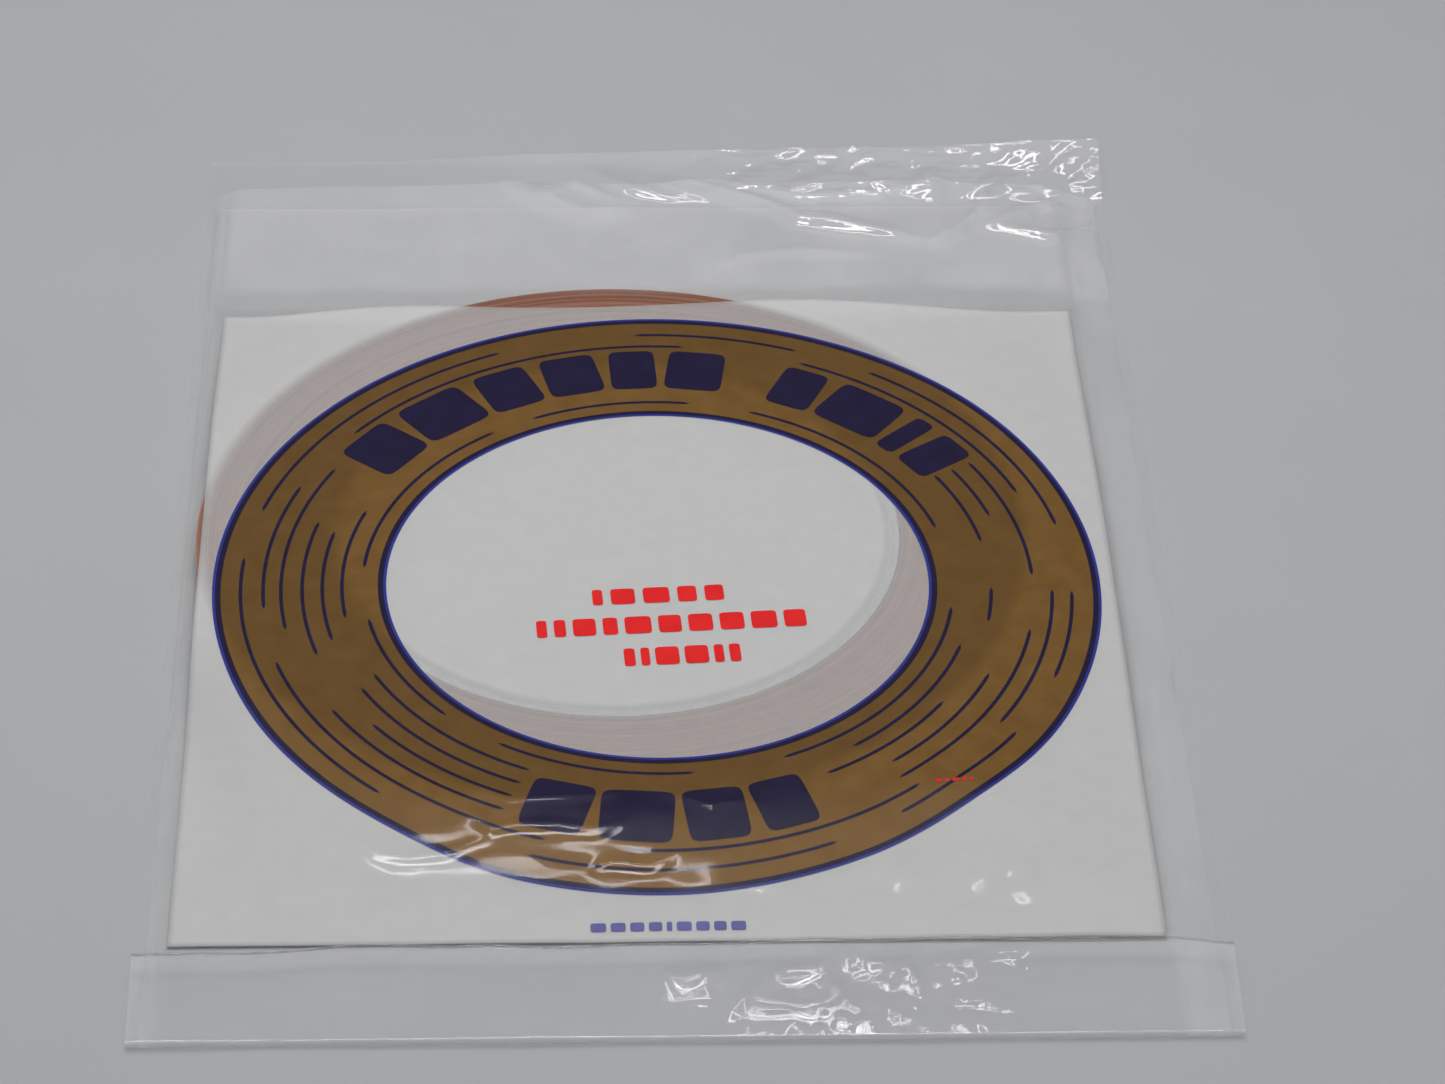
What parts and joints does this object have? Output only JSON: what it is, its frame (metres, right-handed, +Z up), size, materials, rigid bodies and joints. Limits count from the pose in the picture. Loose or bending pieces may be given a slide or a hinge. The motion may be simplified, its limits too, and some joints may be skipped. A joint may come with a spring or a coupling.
{
  "type": "copper foil tape roll",
  "caption": "Flat ring of narrow adhesive copper foil tape wound on a core, under a thin printed card in a clear side-welded bag whose surplus end folds over the front.",
  "frame": {"origin": "centre of the closed bag on the surface that it lies on", "axes": "+Z up, square to the lying bag; +Y from the folded-over bottom end to the open mouth; +X across the bag, to the right when the printed side is read"},
  "size_m": [0.137, 0.1926, 0.0057],
  "materials": {
    "clear_film": "clear glossy film",
    "card_paper": "thin smooth white paper",
    "core_board": "white board",
    "liner_paper": "white release paper",
    "adhesive": "clear acrylic adhesive",
    "copper": "bright copper"
  },
  "bodies": {
    "bag": {"bag_back_film": "clear_film", "bag_front_film": "clear_film", "bag_left_weld": "clear_film", "bag_right_weld": "clear_film"},
    "flap": {"flap_lower_film": "clear_film", "flap_upper_film": "clear_film", "flap_left_weld": "clear_film", "flap_right_weld": "clear_film", "flap_bottom_fold": "clear_film"},
    "card": {"printed_card": "card_paper"},
    "roll": {"core_ring": "core_board", "release_liner": "liner_paper", "adhesive_layer": "adhesive", "copper_foil": "copper"}
  },
  "joints": [
    {"name": "flap_fold", "type": "hinge", "parent": "bag", "child": "flap", "pos_m": [0, -0.096, 0.0008], "axis": [1, 0, 0], "range_deg": [-5, 165]},
    {"name": "card_slide", "type": "slide", "parent": "bag", "child": "card", "axis": [0, 1, 0], "range_m": [0, 0.18]},
    {"name": "roll_spin", "type": "hinge", "parent": "card", "child": "roll", "pos_m": [-0.00775, 0.00085, 0], "axis": [0, 0, 1], "continuous": true}
  ]
}
